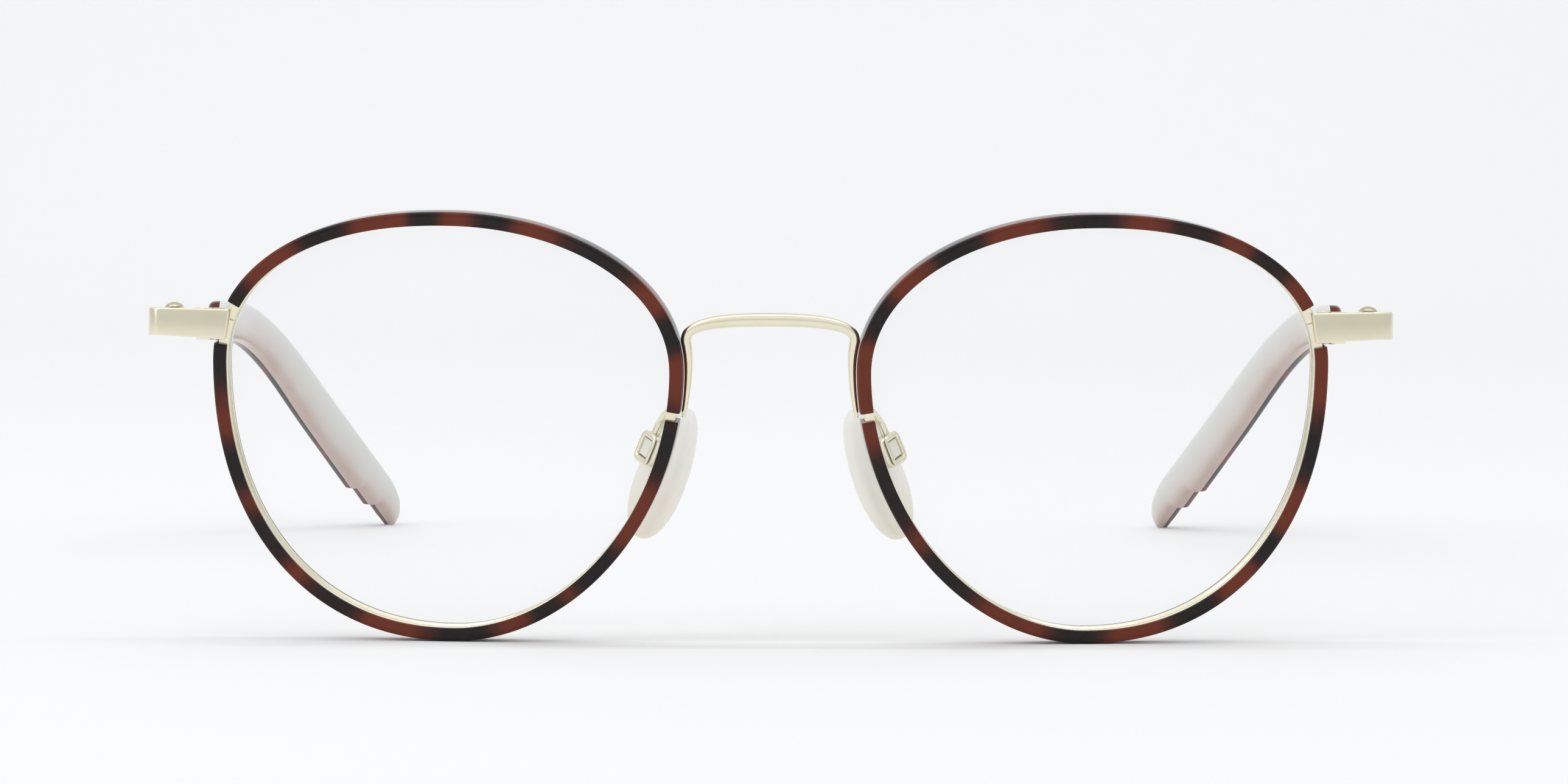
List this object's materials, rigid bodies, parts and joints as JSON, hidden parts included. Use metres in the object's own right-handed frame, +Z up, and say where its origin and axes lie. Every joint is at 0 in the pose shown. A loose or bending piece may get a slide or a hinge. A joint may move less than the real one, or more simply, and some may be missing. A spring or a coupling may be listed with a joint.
{
  "type": "eyeglasses",
  "caption": "Round full-rim metal eyeglasses with split tortoise rim covers, a saddle bridge, rocking nose pads and hinged temples that fold.",
  "frame": {"origin": "on the table, in the middle of the open glasses' overall depth, on the plane of symmetry", "axes": "+X towards the wearer's left, +Y back towards the ears, +Z up; the glasses stand open on the rims' lowest points and the ends of the tips"},
  "size_m": [0.1528, 0.1396, 0.0472],
  "materials": {
    "champagne_metal": "satin champagne plating",
    "screw_steel": "satin",
    "tortoise_acetate": "polished tortoise acetate",
    "milky_acetate": "polished milky acetate",
    "clear_lens": "clear demonstration lens",
    "pad_silicone": "milky translucent silicone",
    "pad_plastic": "translucent plastic"
  },
  "bodies": {
    "front": {"bridge": "champagne_metal", "right_eyewire": "champagne_metal", "left_eyewire": "champagne_metal", "right_rim_cover_upper": "tortoise_acetate", "left_rim_cover_upper": "tortoise_acetate", "right_rim_cover_lower": "tortoise_acetate", "left_rim_cover_lower": "tortoise_acetate", "right_lens": "clear_lens", "left_lens": "clear_lens", "right_endpiece": "champagne_metal", "left_endpiece": "champagne_metal", "right_closing_block_upper": "champagne_metal", "left_closing_block_upper": "champagne_metal", "right_closing_block_lower": "champagne_metal", "left_closing_block_lower": "champagne_metal", "right_rim_screw": "screw_steel", "left_rim_screw": "screw_steel", "right_front_hinge": "champagne_metal", "left_front_hinge": "champagne_metal", "right_hinge_screw": "screw_steel", "left_hinge_screw": "screw_steel", "right_pad_arm": "champagne_metal", "left_pad_arm": "champagne_metal", "right_pad_box": "champagne_metal", "left_pad_box": "champagne_metal"},
    "right_temple": {"right_temple_hinge": "champagne_metal", "right_temple_shaft": "champagne_metal", "right_tip_outer": "tortoise_acetate", "right_tip_liner": "milky_acetate"},
    "left_temple": {"left_temple_hinge": "champagne_metal", "left_temple_shaft": "champagne_metal", "left_tip_outer": "tortoise_acetate", "left_tip_liner": "milky_acetate"},
    "right_pad": {"right_nose_pad": "pad_silicone", "right_pad_stem": "pad_plastic"},
    "left_pad": {"left_nose_pad": "pad_silicone", "left_pad_stem": "pad_plastic"}
  },
  "joints": [
    {"name": "left_temple_fold", "type": "hinge", "parent": "front", "child": "left_temple", "pos_m": [0.0655, -0.05902, 0.03485], "axis": [0, 0.0349, 0.9994], "range_deg": [0, 86.5]},
    {"name": "right_temple_fold", "type": "hinge", "parent": "front", "child": "right_temple", "pos_m": [-0.0655, -0.05902, 0.03485], "axis": [0, -0.0349, -0.9994], "range_deg": [0, 66]},
    {"name": "left_pad_rock", "type": "hinge", "parent": "front", "child": "left_pad", "pos_m": [0.01325, -0.06037, 0.02112], "axis": [0.505, 0.8127, 0.2906], "range_deg": [-8, 8]},
    {"name": "right_pad_rock", "type": "hinge", "parent": "front", "child": "right_pad", "pos_m": [-0.01325, -0.06037, 0.02112], "axis": [0.505, -0.8127, -0.2906], "range_deg": [-8, 8]}
  ]
}
